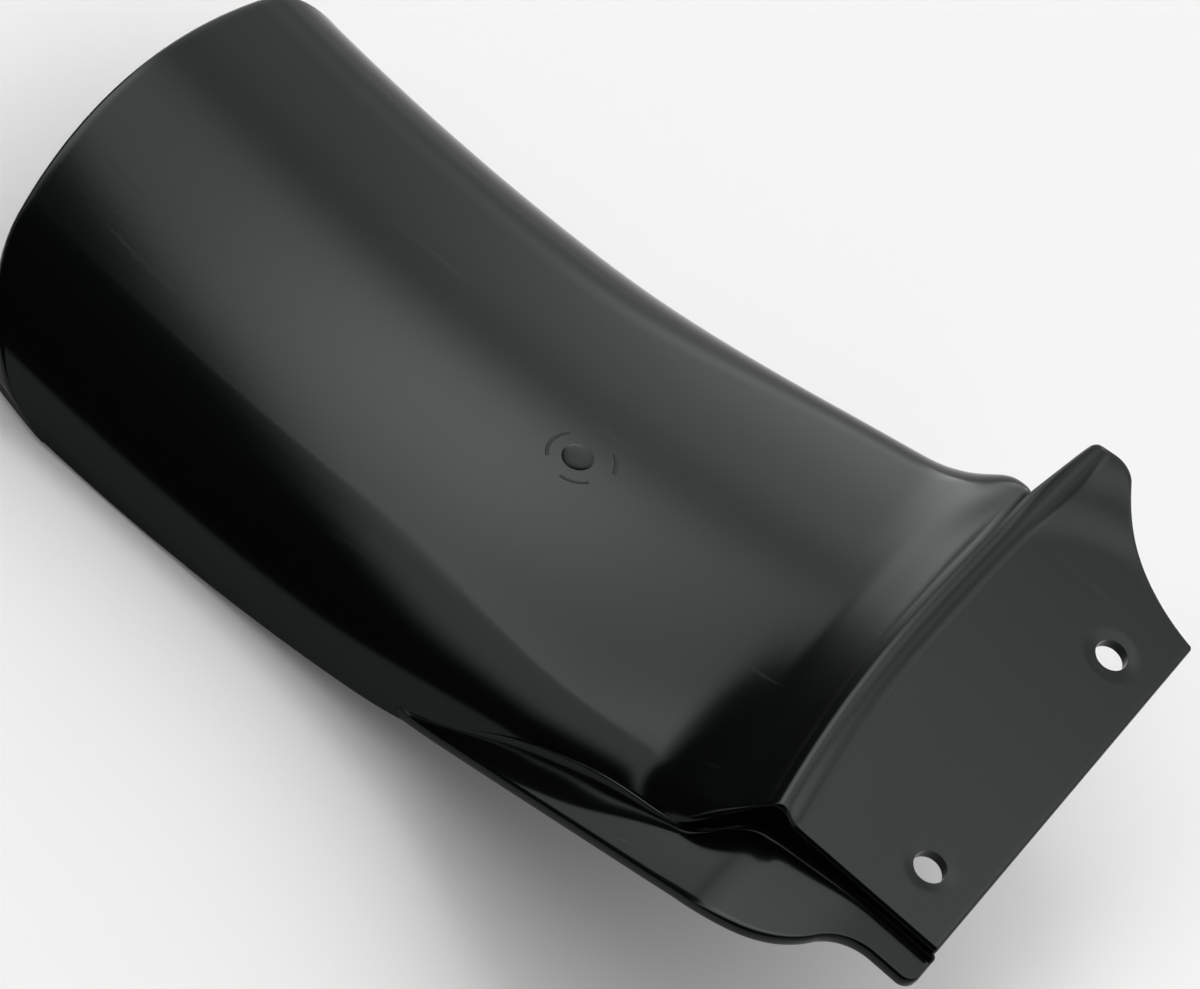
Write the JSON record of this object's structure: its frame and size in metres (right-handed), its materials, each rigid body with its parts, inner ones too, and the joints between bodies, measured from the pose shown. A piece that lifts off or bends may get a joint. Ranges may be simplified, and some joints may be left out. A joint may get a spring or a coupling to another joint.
{
  "type": "shock absorber guard",
  "caption": "Moulded black plastic guard: a saddle-shaped channel with a rounded free end, a crest, and a bolted fixing plate with a lowered side wing and a raised ear.",
  "frame": {"origin": "midway between the fixing holes, on the seat face under the fixing plate", "axes": "+Z out of the plate's outer face, +Y along the guard towards its free end, +X towards the raised ear"},
  "size_m": [0.1448, 0.2353, 0.0557],
  "materials": {
    "black_plastic": "gloss"
  },
  "bodies": {
    "root": {"guard_shell": "black_plastic"}
  },
  "joints": []
}
